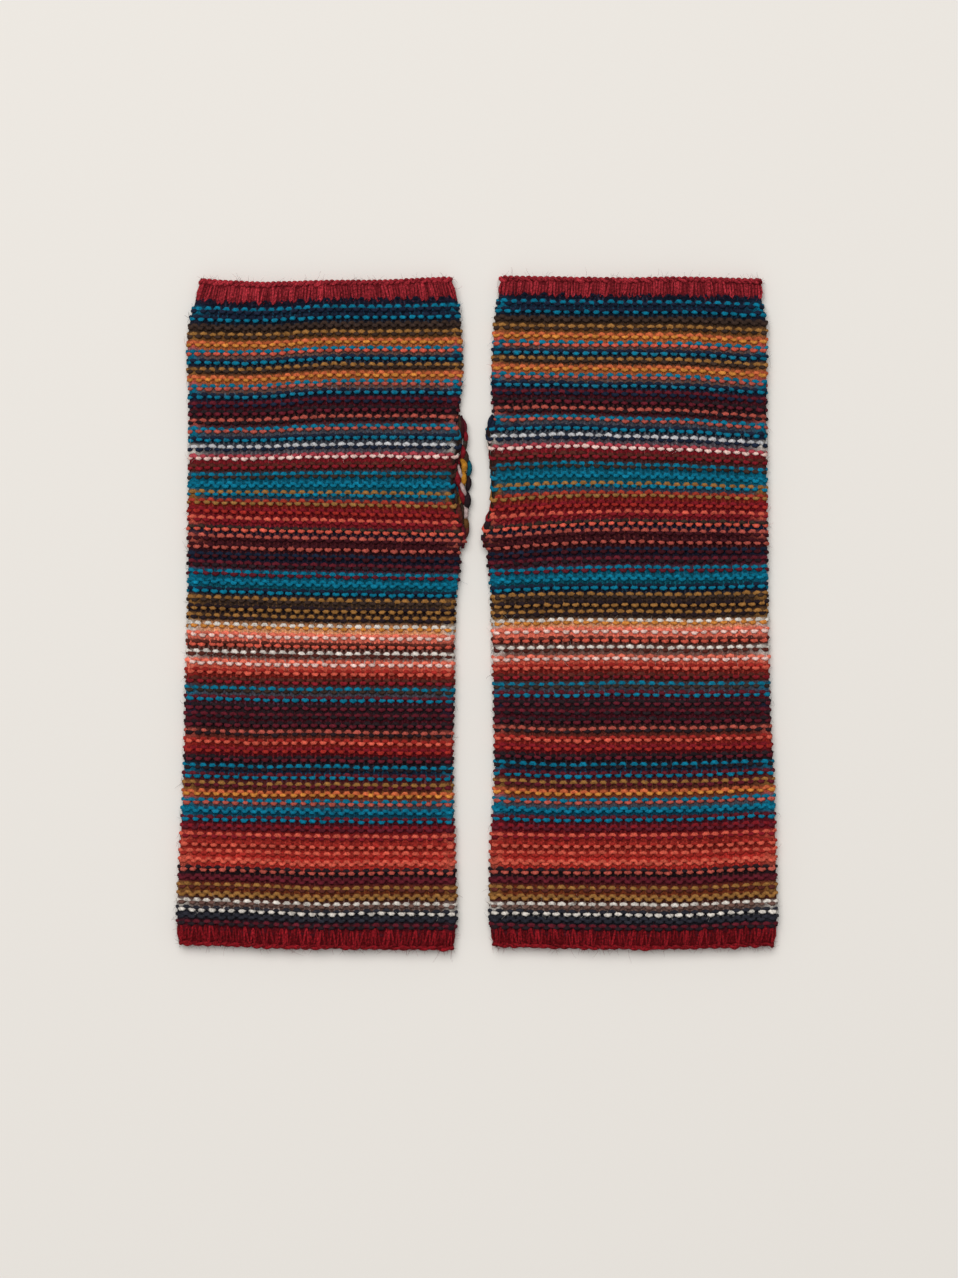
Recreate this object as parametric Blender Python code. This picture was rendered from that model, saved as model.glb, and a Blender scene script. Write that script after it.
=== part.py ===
# A pair of fingerless wool mittens, laid flat side by side with their thumb slits facing each other.
# Each mitten is one striped panel, folded at its outer side, between a finger rib and a wrist rib.
# Its two selvedges meet at the thumb side, and are left open along the slit, where each has an edge bead.
# Sizes here are millimetres. +X is to the right, +Y towards the finger ends and +Z up.
import math

import bmesh
import bpy
import numpy as np

MM = 0.001

# The cloth and how the leaves of a mitten lie on each other
WALL = 2.4
LEAF_GAP = 0.8
SEAM_GAP = 0.3
CROWN = 0.5
THICKNESS = 2 * WALL + LEAF_GAP
BEND_RADIUS = THICKNESS / 2
INNER_RADIUS = BEND_RADIUS - WALL

# The pair
CENTRE_LINE = 54.3
BODY_HALF_WIDTH = 49.0
PAIR_SHIFT = 0.11
FINGER_END_Y = 120.39
BODY_START = 8.7
BODY_END = 232.9

# The ribs: knit columns raised on the front leaf and round the fold, flat beneath
FINGER_RIB_START = 0.5
WRIST_RIB_END = 240.4
RIBS_ACROSS = 15
RIB_GROOVE = -0.5
RIB_RISE = 0.8
RIB_SCALLOP = 0.6
RIB_END_DROP = 0.7
RIB_END_ROUND = 1.3
RIB_SEAM_ROUND = 1.0
RIB_LEVELLED = (0.35, 0.0, 0.0, 1.0)  # how far each row of a rib is levelled, from its seam to its end
RIB_PROFILE = (
    # phase, share of the rise
    (0.0, 0.0),
    (0.2, 0.85),
    (0.5, 1.0),
    (0.8, 0.85),
)

# The thumb slit and the beads of carried yarn along its edges
SLIT_START = 52.0
SLIT_END = 97.0
SLIT_EASE = 5.0
BEAD_RADIUS = 1.1
BEAD_BUMP = 0.12
BEAD_BUMPS = 6
BEAD_POINTS = 15
BEAD_INSET = 2.0
BEAD_TIP = 0.45
BEAD_TAPER = 0.16
BEAD_HEIGHT = BEAD_RADIUS * (1 + BEAD_BUMP)

# How finely the sections are cut
PANEL_ROW_STEP = 10.5
SLIT_ROW_STEP = 3.0
ARC_STEPS = 4
FOLD_STEPS = 8
LEAF_STEPS = 7
UNDERSIDE_STEPS = 4
SHARP_ANGLE = math.radians(40)

# Half widths of the left mitten from its centre line, down its length
LEFT_OUTLINE = (
    # down, fold side, front leaf at the thumb side, back leaf at the thumb side
    (0.0, 44.4, 45.0, 45.0),
    (8.6, 46.8, 47.7, 47.7),
    (14.3, 48.4, 48.4, 48.4),
    (44.0, 48.9, 48.6, 48.6),
    (53.0, 48.9, 47.2, 48.1),
    (64.0, 48.9, 46.3, 49.4),
    (80.0, 49.2, 46.3, 49.7),
    (90.0, 49.3, 47.2, 48.4),
    (98.0, 49.3, 48.5, 48.5),
    (116.0, 49.3, 46.9, 46.9),
    (148.0, 50.2, 46.4, 46.4),
    (176.0, 50.8, 45.9, 45.9),
    (205.0, 52.2, 46.7, 46.7),
    (225.0, 53.2, 47.3, 47.3),
    (233.0, 53.2, 47.1, 47.1),
    (240.4, 52.4, 46.3, 46.3),
)

# The same for the right mitten, whose front leaf covers its back leaf at the slit
RIGHT_OUTLINE = (
    # down, fold side, front leaf at the thumb side, back leaf at the thumb side
    (0.0, 47.4, 46.4, 46.4),
    (8.6, 47.8, 47.4, 47.4),
    (14.3, 49.1, 48.3, 48.3),
    (26.0, 49.3, 49.2, 49.2),
    (44.0, 49.3, 49.4, 49.4),
    (53.0, 49.2, 48.6, 47.6),
    (68.0, 49.3, 47.0, 46.0),
    (80.0, 49.4, 47.4, 46.6),
    (90.0, 49.5, 49.4, 48.6),
    (98.0, 49.6, 51.2, 51.2),
    (107.0, 49.5, 50.2, 50.2),
    (134.0, 50.0, 49.3, 49.3),
    (151.0, 50.4, 48.9, 48.9),
    (187.0, 52.1, 48.9, 48.9),
    (202.0, 52.5, 50.0, 50.0),
    (216.0, 52.8, 50.3, 50.3),
    (233.0, 52.8, 50.2, 50.2),
    (240.4, 51.7, 49.3, 49.3),
)

# How far the courses dip below a straight line, from the photo's left to its right
LEFT_DIP = (
    # share across, at the finger end, at the wrist end
    (0.0, 0.2, -1.2),
    (0.25, 1.0, -0.3),
    (0.5, -0.1, 0.2),
    (0.75, -0.4, 0.5),
    (1.0, -0.9, 0.6),
)
RIGHT_DIP = (
    # share across, at the finger end, at the wrist end
    (0.0, -0.5, -0.6),
    (0.25, -0.1, 0.1),
    (0.5, 0.2, 0.4),
    (0.75, -0.1, 0.3),
    (1.0, 0.4, -0.4),
)

MITTENS = (
    # name, side of the pair, outline, dip
    ("left", -1, LEFT_OUTLINE, LEFT_DIP),
    ("right", 1, RIGHT_OUTLINE, RIGHT_DIP),
)


def clear_scene():
    for item in list(bpy.data.objects):
        bpy.data.objects.remove(item, do_unlink=True)


def make_material(name, colour, roughness):
    material = bpy.data.materials.new(name)
    material.use_nodes = True
    shader = material.node_tree.nodes["Principled BSDF"]
    shader.inputs["Base Color"].default_value = (*colour, 1)
    shader.inputs["Roughness"].default_value = roughness
    shader.inputs["Metallic"].default_value = 0
    return material


def ease(share):
    """0 below 0 and 1 above 1, with a soft start and end."""
    share = min(max(share, 0.0), 1.0)
    return share * share * (3 - 2 * share)


def read_off(table, column, place):
    """A smooth curve through one column of a table, read at a place along its first column."""
    places = [row[0] for row in table]
    values = [row[column] for row in table]
    slopes = np.gradient(values, places)
    i = min(max(int(np.searchsorted(places, place)) - 1, 0), len(places) - 2)
    step = places[i + 1] - places[i]
    t = min(max((place - places[i]) / step, 0.0), 1.0)
    start = (1 + 2 * t) * (1 - t) ** 2 * values[i] + t * (1 - t) ** 2 * step * slopes[i]
    end = t * t * (3 - 2 * t) * values[i + 1] + t * t * (t - 1) * step * slopes[i + 1]
    return start + end


def sewn_share(down):
    """1 where the selvedges meet and 0 along the open slit."""
    opened = ease((down - SLIT_START) / SLIT_EASE)
    closed = ease((down - (SLIT_END - SLIT_EASE)) / SLIT_EASE)
    return 1 - opened + closed


def selvedge_arc(edge, sewn, steps):
    """The back leaf's thumb side, from its rim to the flat underside, as outer and inner points."""
    outer, inner = [], []
    for i in range(steps + 1):
        angle = math.pi / 2 * i / steps
        flat = -edge + BEND_RADIUS * i / steps
        round_outer = (
            -edge + BEND_RADIUS - BEND_RADIUS * math.cos(angle),
            BEND_RADIUS - SEAM_GAP / 2 - (BEND_RADIUS - SEAM_GAP / 2) * math.sin(angle),
        )
        round_inner = (
            -edge + BEND_RADIUS - INNER_RADIUS * math.cos(angle),
            BEND_RADIUS - SEAM_GAP / 2 - (INNER_RADIUS - SEAM_GAP / 2) * math.sin(angle),
        )
        outer.append((sewn * round_outer[0] + (1 - sewn) * flat, sewn * round_outer[1]))
        inner.append(
            (sewn * round_inner[0] + (1 - sewn) * flat, sewn * round_inner[1] + (1 - sewn) * WALL)
        )
    return outer, inner


def crown_at(across, fold, front):
    """How much the front leaf rises above flat, most at the middle of its width."""
    share = (across + front) / (fold + front)
    return CROWN * math.sin(math.pi * min(max(share, 0.0), 1.0)) ** 2


def leaf_stations(start, end, steps):
    """Places between two ends of a leaf, without the ends."""
    return [start + (end - start) * i / steps for i in range(1, steps)]


def section(fold, front, back, sewn, leaf_steps, ribbed=False):
    """One cut across a mitten, from the back leaf's rim round the fold to the front leaf's rim."""
    outer, inner = selvedge_arc(back, sewn, ARC_STEPS)
    for across in leaf_stations(-back + BEND_RADIUS, fold - BEND_RADIUS, UNDERSIDE_STEPS):
        outer.append((across, 0.0))
        inner.append((across, WALL))
    for i in range(FOLD_STEPS + 1):
        angle = math.pi * i / FOLD_STEPS - math.pi / 2
        reach, lift = math.cos(angle), math.sin(angle)
        outer.append((fold - BEND_RADIUS * (1 - reach), BEND_RADIUS * (1 + lift)))
        inner.append((fold - BEND_RADIUS + INNER_RADIUS * reach, BEND_RADIUS + INNER_RADIUS * lift))
    for across in leaf_stations(fold - BEND_RADIUS, -front + BEND_RADIUS, leaf_steps):
        lift = 0.0 if ribbed else crown_at(across, fold, front)
        outer.append((across, THICKNESS + lift))
        inner.append((across, THICKNESS - WALL + lift))
    arc_outer, arc_inner = selvedge_arc(front, sewn, ARC_STEPS)
    outer += [(across, THICKNESS - up) for across, up in reversed(arc_outer)]
    inner += [(across, THICKNESS - up) for across, up in reversed(arc_inner)]
    return outer, inner


def dip_at(dip, side, across, down):
    """How far a course lies below its straight line, at a place on a mitten."""
    share = min(max(0.5 + side * across / (2 * BODY_HALF_WIDTH), 0.0), 1.0)
    wrist = min(max(down / WRIST_RIB_END, 0.0), 1.0)
    return (1 - wrist) * read_off(dip, 1, share) + wrist * read_off(dip, 2, share)


def place(side, dip, across, down, up):
    """A point of a mitten in the pair's frame, in metres."""
    x = side * (CENTRE_LINE + across) + PAIR_SHIFT
    y = FINGER_END_Y - down - dip_at(dip, side, across, down)
    return (x * MM, y * MM, up * MM)


def wall_mesh(name, outer_rows, inner_rows):
    """A closed wall between an outer skin and an inner skin, each a grid of sections."""
    shape = bmesh.new()
    outer = [[shape.verts.new(point) for point in row] for row in outer_rows]
    inner = [[shape.verts.new(point) for point in row] for row in inner_rows]
    last_row, last_point = len(outer) - 1, len(outer[0]) - 1
    for row in range(last_row):
        for i in range(last_point):
            for skin in (outer, inner):
                shape.faces.new(
                    (skin[row][i], skin[row][i + 1], skin[row + 1][i + 1], skin[row + 1][i])
                )
        for i in (0, last_point):
            shape.faces.new((outer[row][i], outer[row + 1][i], inner[row + 1][i], inner[row][i]))
    for row in (0, last_row):
        for i in range(last_point):
            shape.faces.new((outer[row][i], outer[row][i + 1], inner[row][i + 1], inner[row][i]))
    bmesh.ops.recalc_face_normals(shape, faces=shape.faces)
    mesh = bpy.data.meshes.new(name)
    shape.to_mesh(mesh)
    shape.free()
    mesh.shade_smooth()
    mesh.set_sharp_from_angle(angle=SHARP_ANGLE)
    return mesh


def add_piece(collection, name, data, material):
    piece = bpy.data.objects.new(name, data)
    data.materials.append(material)
    collection.objects.link(piece)
    return piece


def panel_rows():
    """The places down a panel where its sections are cut, closer together along the slit."""
    stretches = (
        (BODY_START, SLIT_START - 1, PANEL_ROW_STEP),
        (SLIT_START - 1, SLIT_START + SLIT_EASE + 1, SLIT_ROW_STEP),
        (SLIT_START + SLIT_EASE + 1, SLIT_END - SLIT_EASE - 1, PANEL_ROW_STEP),
        (SLIT_END - SLIT_EASE - 1, SLIT_END + 1, SLIT_ROW_STEP),
        (SLIT_END + 1, BODY_END, PANEL_ROW_STEP),
    )
    rows = [BODY_START]
    for start, end, step in stretches:
        count = max(1, round((end - start) / step))
        rows += [start + (end - start) * i / count for i in range(1, count + 1)]
    return rows


def make_panel(name, side, outline, dip):
    outer_rows, inner_rows = [], []
    for down in panel_rows():
        fold, front, back = (read_off(outline, column, down) for column in (1, 2, 3))
        outer, inner = section(fold, front, back, sewn_share(down), LEAF_STEPS)
        outer_rows.append([place(side, dip, a, down, up) for a, up in outer])
        inner_rows.append([place(side, dip, a, down, up) for a, up in inner])
    return wall_mesh(name, outer_rows, inner_rows)


def rib_stations(start, end):
    """Places across a ribbed leaf and their share of the rise, a rib profile for each rib."""
    pitch = (end - start) / RIBS_ACROSS
    return [
        (start + (rib + phase) * pitch, rise)
        for rib in range(RIBS_ACROSS)
        for phase, rise in RIB_PROFILE
    ]


def rib_section(fold, front, levelled):
    """A cut across a rib ring: outer points, inner points and each outer point's rise."""
    plain_outer, plain_inner = section(fold, front, front, 1.0, 1, ribbed=True)
    split = len(plain_outer) - (ARC_STEPS + 1)
    start, end = fold - BEND_RADIUS, -front + BEND_RADIUS
    outer = [(a, up, 0.0) for a, up in plain_outer[:split]]
    inner = list(plain_inner[:split])
    for across, rise in rib_stations(start, end)[1:]:
        lift = (RIB_GROOVE + RIB_RISE * rise) * (1 - levelled) - RIB_END_DROP * levelled
        outer.append((across, THICKNESS + lift, rise))
        inner.append((across, THICKNESS - WALL))
    outer += [(a, up, 0.0) for a, up in plain_outer[split:]]
    inner += list(plain_inner[split:])
    return outer, inner


def make_rib(name, side, outline, dip, seam, free):
    """A rib ring from its seam with the panel to its free, scalloped end."""
    away = 1 if free > seam else -1
    downs = (seam, seam + away * RIB_SEAM_ROUND, free - away * RIB_END_ROUND, free)
    outer_rows, inner_rows = [], []
    for down, levelled in zip(downs, RIB_LEVELLED):
        fold, front = (read_off(outline, column, down) for column in (1, 2))
        outer, inner = rib_section(fold, front, levelled)
        scallop = RIB_SCALLOP * away if down == free else 0.0
        outer_rows.append(
            [place(side, dip, a, down + scallop * (rise - 0.5), up) for a, up, rise in outer]
        )
        inner_rows.append(
            [
                place(side, dip, a, down + scallop * (point[2] - 0.5), up)
                for (a, up), point in zip(inner, outer)
            ]
        )
    return wall_mesh(name, outer_rows, inner_rows)


def make_bead(name, side, outline, dip, column, up):
    """The rounded selvedge along one edge of the slit, a tube that swells at each carried yarn."""
    curve = bpy.data.curves.new(name, "CURVE")
    curve.dimensions = "3D"
    curve.bevel_depth = BEAD_RADIUS * MM
    curve.bevel_resolution = 2
    curve.use_fill_caps = True
    spline = curve.splines.new("POLY")
    spline.points.add(BEAD_POINTS - 1)
    clear = BEAD_RADIUS * (1 + BEAD_BUMP) + SEAM_GAP
    for i, point in enumerate(spline.points):
        share = i / (BEAD_POINTS - 1)
        down = SLIT_START + BEAD_INSET + share * (SLIT_END - SLIT_START - 2 * BEAD_INSET)
        lean = read_off(outline, column, down + 1) - read_off(outline, column, down - 1)
        across = -(read_off(outline, column, down) + clear * math.hypot(1, lean / 2))
        point.co = (*place(side, dip, across, down, up), 1)
        swell = 1 + BEAD_BUMP * math.sin(2 * math.pi * BEAD_BUMPS * share)
        taper = ease(min(share, 1 - share) / BEAD_TAPER)
        point.radius = swell * (BEAD_TIP + (1 - BEAD_TIP) * taper)
    return curve


def main():
    clear_scene()
    collection = bpy.data.collections.new("fingerless_mittens")
    bpy.context.scene.collection.children.link(collection)
    stripes = make_material("striped_wool", (0.13, 0.05, 0.05), 0.95)
    red = make_material("dark_red_wool", (0.20, 0.02, 0.03), 0.95)
    yarns = make_material("carried_yarns", (0.10, 0.05, 0.03), 0.95)
    for name, side, outline, dip in MITTENS:
        make = (side, outline, dip)
        panel = make_panel(f"panel_{name}", *make)
        add_piece(collection, f"panel_{name}", panel, stripes)
        finger = make_rib(
            f"finger_rib_{name}", *make, BODY_START - SEAM_GAP, FINGER_RIB_START
        )
        add_piece(collection, f"finger_rib_{name}", finger, red)
        wrist = make_rib(f"wrist_rib_{name}", *make, BODY_END + SEAM_GAP, WRIST_RIB_END)
        add_piece(collection, f"wrist_rib_{name}", wrist, red)
        front = make_bead(f"slit_edge_front_{name}", *make, 2, THICKNESS - BEAD_HEIGHT)
        add_piece(collection, f"slit_edge_front_{name}", front, yarns)
        back = make_bead(f"slit_edge_back_{name}", *make, 3, BEAD_HEIGHT)
        add_piece(collection, f"slit_edge_back_{name}", back, yarns)


main()
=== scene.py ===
import math

import bpy
import numpy as np
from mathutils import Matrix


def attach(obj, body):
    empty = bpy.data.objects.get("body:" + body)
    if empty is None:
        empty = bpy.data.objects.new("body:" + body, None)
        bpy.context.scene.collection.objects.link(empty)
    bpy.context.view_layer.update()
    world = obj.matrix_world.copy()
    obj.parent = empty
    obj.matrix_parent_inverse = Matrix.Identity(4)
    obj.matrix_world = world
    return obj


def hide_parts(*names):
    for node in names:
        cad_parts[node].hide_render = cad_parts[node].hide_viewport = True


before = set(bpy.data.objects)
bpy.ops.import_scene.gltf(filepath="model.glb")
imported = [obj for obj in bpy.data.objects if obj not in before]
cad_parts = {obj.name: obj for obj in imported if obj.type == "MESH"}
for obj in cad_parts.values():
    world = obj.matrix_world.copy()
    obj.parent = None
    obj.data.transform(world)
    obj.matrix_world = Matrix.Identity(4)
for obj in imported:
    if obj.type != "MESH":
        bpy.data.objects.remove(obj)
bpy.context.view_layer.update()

# Sizes are in millimetres until a mesh is made. A place on a mitten is a share across a leaf, from the
# fold (0) to the thumb side (1), a distance down from the finger end, and a lift out of the cloth.
mm = 0.001

pair = {
    "centreLine": 54.3,
    "shift": 0.11,
    "fingerEndY": 120.39,
    "thickness": 5.6,
    "bend": 2.8,  # radius of the cloth's outside round the fold
    "crown": 0.5,
    "slitStart": 52.0,
    "slitEnd": 97.0,
    "slitEase": 5.0,
}

cloth = {
    "depth": 1.3,  # from the outside of the solids in to the middle of the yarns
    "foldSpread": 0.7,  # the loops stand this far out of the solids' outline at the fold
    "thumbSpread": 0.4,
    "backReach": -1.1,  # how far the back courses reach past the outline along the open slit
    "probe": 0.2,  # how far out the second point lies that shows which way the cloth faces
}

stitch = {
    "height": 0.68,  # half the way from a loop's head to its sinker, in courses
    "lean": 0.2,  # how far a loop's legs lean out, in stitches
    "depth": 0.62,  # half the way from the front of the loops to the back
    "radius": 0.62,
    "swell": 0.2,  # yarn is fuller where it lies on the face than in the legs
    "flatness": 0.8,  # and a little flat there
    "legShade": 0.8,  # the legs lie in the shade of the rows
    "matting": 0.22,  # how much of a leg's colour comes from the wool of the courses next to it
    "tuck": 0.8,  # how far the outermost rows sink beside the ribs
    "tuckShade": 0.5,  # how much darker they are there
    "uneven": 1.3,  # times the five amounts that follow
    "unevenShare": 0.035,
    "unevenDown": 0.10,
    "unevenLift": 0.05,
    "unevenRadius": 0.07,
    "unevenShade": 0.10,
    "dense": 0.35,  # a tube has more rings at the heads than in the legs
    "edgeStitches": 0.8,  # the legs have the row's own colour for this many stitches from an edge
    "edgeFade": 1.0,
    "edgeShade": 0.85,
    "faceStart": 0.35,  # how far up a loop its face colour starts and takes over
    "faceFade": 0.58,
}

# How far down the heads of a course lie on each mitten
courseHeights = (
    # course, left, right
    (-2, 1.9, 1.7),
    (-1, 4.6, 3.7),
    (0, 7.9, 6.35),
    (1, 10.95, 9.1),
    (6, 25.95, 23.8),
    (10, 38.0, 35.45),
    (14, 50.4, 47.5),
    (17, 60.2, 57.2),
    (20, 70.4, 67.25),
    (25, 86.9, 84.4),
    (31, 106.1, 104.0),
    (37, 124.75, 122.7),
    (44, 147.3, 145.3),
    (49, 162.65, 161.2),
    (56, 184.4, 183.45),
    (64, 208.8, 208.6),
    (69, 223.7, 224.0),
    (72, 231.4, 231.8),
    (73, 234.0, 234.2),
    (74, 236.4, 236.5),
    (75, 238.5, 238.5),
)

# Half widths from the centre line, down a mitten, as in the solids
leftOutline = (
    # down, fold side, front leaf at the thumb side, back leaf at the thumb side
    (0.0, 44.4, 45.0, 45.0),
    (8.6, 46.8, 47.7, 47.7),
    (14.3, 48.4, 48.4, 48.4),
    (44.0, 48.9, 48.6, 48.6),
    (53.0, 48.9, 47.2, 48.1),
    (64.0, 48.9, 46.3, 49.4),
    (80.0, 49.2, 46.3, 49.7),
    (90.0, 49.3, 47.2, 48.4),
    (98.0, 49.3, 48.5, 48.5),
    (116.0, 49.3, 46.9, 46.9),
    (148.0, 50.2, 46.4, 46.4),
    (176.0, 50.8, 45.9, 45.9),
    (205.0, 52.2, 46.7, 46.7),
    (225.0, 53.2, 47.3, 47.3),
    (233.0, 53.2, 47.1, 47.1),
    (240.4, 52.4, 46.3, 46.3),
)
rightOutline = (
    # down, fold side, front leaf at the thumb side, back leaf at the thumb side
    (0.0, 47.4, 46.4, 46.4),
    (8.6, 47.8, 47.4, 47.4),
    (14.3, 49.1, 48.3, 48.3),
    (26.0, 49.3, 49.2, 49.2),
    (44.0, 49.3, 49.4, 49.4),
    (53.0, 49.2, 48.6, 47.6),
    (68.0, 49.3, 47.0, 46.0),
    (80.0, 49.4, 47.4, 46.6),
    (90.0, 49.5, 49.4, 48.6),
    (98.0, 49.6, 51.2, 51.2),
    (107.0, 49.5, 50.2, 50.2),
    (134.0, 50.0, 49.3, 49.3),
    (151.0, 50.4, 48.9, 48.9),
    (187.0, 52.1, 48.9, 48.9),
    (202.0, 52.5, 50.0, 50.0),
    (216.0, 52.8, 50.3, 50.3),
    (233.0, 52.8, 50.2, 50.2),
    (240.4, 51.7, 49.3, 49.3),
)

# How far the courses dip below a straight line, at five stations from a mitten's left to its right,
# mostly as a program measured it in the photo
dipStations = (-44.8, -23.2, -1.6, 20.2, 41.9)
leftDip = (
    # down, dip at each station
    (0.0, -0.6, 0.8, 0.4, 0.2, -1.0),
    (8.0, 0.1, 0.9, -0.15, -0.25, -0.8),
    (19.3, 0.4, 0.8, -0.35, -0.45, -0.6),
    (38.9, 1.15, 1.0, -0.55, -0.7, -0.55),
    (60.3, 0.5, 0.5, -0.2, -0.5, -0.2),
    (71.0, 0.2, 0.2, -0.2, -0.2, 0.0),
    (81.8, -0.9, -0.3, -0.1, 0.4, 0.7),
    (97.8, -1.2, -0.4, 0.0, 0.5, 0.9),
    (115.7, -1.2, -0.4, 0.1, 0.5, 0.7),
    (144.2, -0.8, -0.2, 0.1, 0.2, 0.4),
    (172.8, -0.8, -0.1, -0.2, 0.3, 0.5),
    (201.3, -0.9, -0.4, 0.2, 0.3, 0.2),
    (222.8, -1.1, -0.4, 0.6, 0.2, 0.5),
    (240.4, -1.2, -0.3, 0.2, 0.5, 0.6),
)
rightDip = (
    # down, dip at each station
    (0.0, -0.5, -0.1, 0.2, -0.1, 0.4),
    (19.3, -0.6, -0.3, -0.1, 0.1, 1.1),
    (38.9, -0.8, -0.6, -0.2, 0.2, 1.8),
    (49.6, -0.6, -0.9, -0.1, 0.4, 2.0),
    (60.3, -0.1, -0.9, -0.3, 0.4, 1.7),
    (71.0, 0.3, -0.6, -0.4, 0.2, 1.2),
    (81.8, 1.2, -0.2, -0.6, -0.2, 0.2),
    (92.5, 1.6, -0.1, -0.7, -0.3, -0.1),
    (103.2, 1.1, 0.0, -0.35, -0.15, -0.5),
    (115.7, 0.6, -0.1, -0.1, 0.1, -0.4),
    (144.2, 0.2, 0.1, -0.2, 0.1, -0.1),
    (172.8, -0.5, 0.4, 0.1, 0.0, -0.7),
    (201.3, -0.1, 0.3, 0.2, 0.1, -1.0),
    (222.8, -0.1, 0.1, 0.2, 0.4, -0.8),
    (240.4, -0.6, 0.1, 0.4, 0.3, -0.4),
)

# How many stitches a leaf has, down each mitten
leftStitches = ((0.0, 29.8), (60.0, 29.4), (95.0, 29.2), (125.0, 28.6), (240.4, 28.2))
rightStitches = ((0.0, 27.4), (30.0, 28.2), (60.0, 29.6), (92.0, 29.4), (117.0, 28.4), (240.4, 28.3))

# How far the front courses reach past the outline along the open slit
leftReach = ((50.0, 0.5), (60.7, 0.8), (65.0, 0.0), (83.0, -0.2), (88.0, 1.0), (97.0, 1.2))
rightReach = ((50.0, 1.6), (54.0, 2.1), (68.0, 2.1), (80.0, 1.7), (90.0, 2.4), (94.0, 1.4), (98.0, 0.3))

# The yarns that are carried up each slit's edge, drawn from the photo. Each has its yarn, how high its
# middle lies, its radius, and three places that it runs through, as the distance out from the mitten's
# centre line and the distance down.
leftFloats = (
    ("umber", 3.2, 0.9, (47.6, 49.4), (48.2, 53.6), (47.6, 58.4)),
    ("darkWine", 3.7, 0.6, (48.6, 49.6), (49.1, 54.0), (48.5, 58.5)),
    ("umber", 3.8, 0.7, (48.4, 57.0), (48.0, 60.4), (47.4, 63.0)),
    ("darkWine", 3.8, 0.7, (47.7, 61.8), (47.0, 64.6), (46.6, 67.6)),
    ("umber", 3.8, 0.7, (47.0, 66.0), (46.4, 69.0), (46.1, 72.2)),
    ("darkWine", 3.8, 0.8, (46.0, 70.6), (45.9, 74.2), (46.0, 78.0)),
    ("umber", 3.9, 0.7, (46.3, 74.6), (46.6, 78.4), (46.8, 82.5)),
    ("darkWine", 3.8, 0.8, (45.6, 77.6), (45.9, 81.0), (46.8, 85.0)),
    ("brown", 4.0, 0.9, (47.0, 80.6), (48.0, 84.5), (48.8, 88.4)),
    ("plum", 4.0, 0.9, (46.4, 81.6), (47.2, 85.5), (48.2, 89.4)),
    ("plum", 4.0, 0.9, (48.2, 88.0), (49.3, 91.8), (49.0, 97.0)),
    ("plum", 3.2, 0.7, (47.4, 49.8), (49.9, 53.0), (49.3, 57.4)),
    ("wine", 3.2, 0.8, (49.2, 54.4), (50.3, 57.2), (49.6, 60.0)),
    ("umber", 3.0, 0.8, (49.8, 57.2), (50.0, 59.8), (49.2, 62.8)),
    ("wine", 3.6, 0.9, (48.8, 60.2), (49.3, 62.8), (48.6, 65.2)),
    ("umber", 3.0, 0.9, (49.2, 61.6), (50.4, 64.4), (50.0, 67.4)),
    ("gold", 3.8, 1.1, (48.4, 65.2), (49.7, 67.6), (48.8, 70.6)),
    ("gold", 3.8, 1.0, (49.0, 69.0), (49.5, 72.0), (49.2, 74.8)),
    ("darkTeal", 2.6, 0.9, (50.2, 64.8), (51.6, 68.2), (50.4, 72.0)),
    ("black", 2.6, 1.0, (50.0, 70.4), (51.3, 73.6), (50.0, 76.8)),
    ("palePink", 4.4, 0.6, (47.5, 67.2), (48.1, 69.8), (49.2, 72.6)),
    ("wine", 3.8, 1.1, (47.2, 69.0), (47.2, 72.0), (48.2, 75.4)),
    ("palePink", 4.0, 0.8, (48.2, 73.2), (49.2, 75.8), (50.4, 78.8)),
    ("wine", 3.8, 0.9, (48.0, 75.6), (48.8, 78.2), (49.6, 81.2)),
    ("black", 3.2, 1.3, (50.0, 76.6), (50.8, 79.8), (50.2, 83.0)),
    ("palePink", 3.0, 0.9, (49.6, 81.2), (50.3, 84.2), (49.8, 87.4)),
    ("umber", 3.0, 0.8, (48.6, 81.0), (49.2, 84.0), (49.4, 87.4)),
    ("olive", 2.8, 1.0, (49.4, 85.6), (50.4, 88.2), (50.2, 91.4)),
    ("brown", 2.8, 0.8, (50.4, 88.4), (50.6, 91.0), (49.0, 94.6)),
)
rightFloats = (
    ("navy", 3.8, 0.9, (47.8, 49.8), (48.7, 53.5), (48.2, 57.6)),
    ("navy", 3.8, 0.8, (48.8, 49.4), (49.9, 52.2), (49.5, 55.2)),
    ("black", 3.8, 0.9, (49.7, 52.6), (50.4, 56.0), (49.4, 58.8)),
    ("palePink", 4.2, 0.8, (48.6, 57.2), (49.8, 58.8), (49.2, 60.8)),
    ("wine", 4.0, 0.8, (48.2, 59.4), (49.2, 62.0), (49.0, 65.8)),
    ("umber", 3.8, 0.7, (49.0, 64.2), (49.3, 66.6), (48.6, 68.6)),
    ("teal", 4.0, 0.8, (48.4, 67.4), (48.6, 70.2), (47.8, 73.4)),
    ("mustard", 4.0, 0.8, (47.4, 73.0), (48.3, 75.4), (47.6, 77.8)),
    ("wine", 4.0, 0.9, (47.5, 76.8), (48.4, 80.2), (49.6, 83.8)),
    ("coral", 4.2, 0.8, (46.6, 83.8), (49.0, 85.0), (50.6, 87.2)),
    ("black", 4.6, 1.2, (49.3, 86.2), (50.8, 89.0), (50.5, 92.0)),
    ("coral", 4.0, 0.8, (49.2, 91.0), (51.0, 92.0), (50.2, 94.2)),
    ("navy", 3.8, 0.9, (49.6, 92.8), (49.9, 95.4), (49.2, 98.0)),
)

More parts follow.
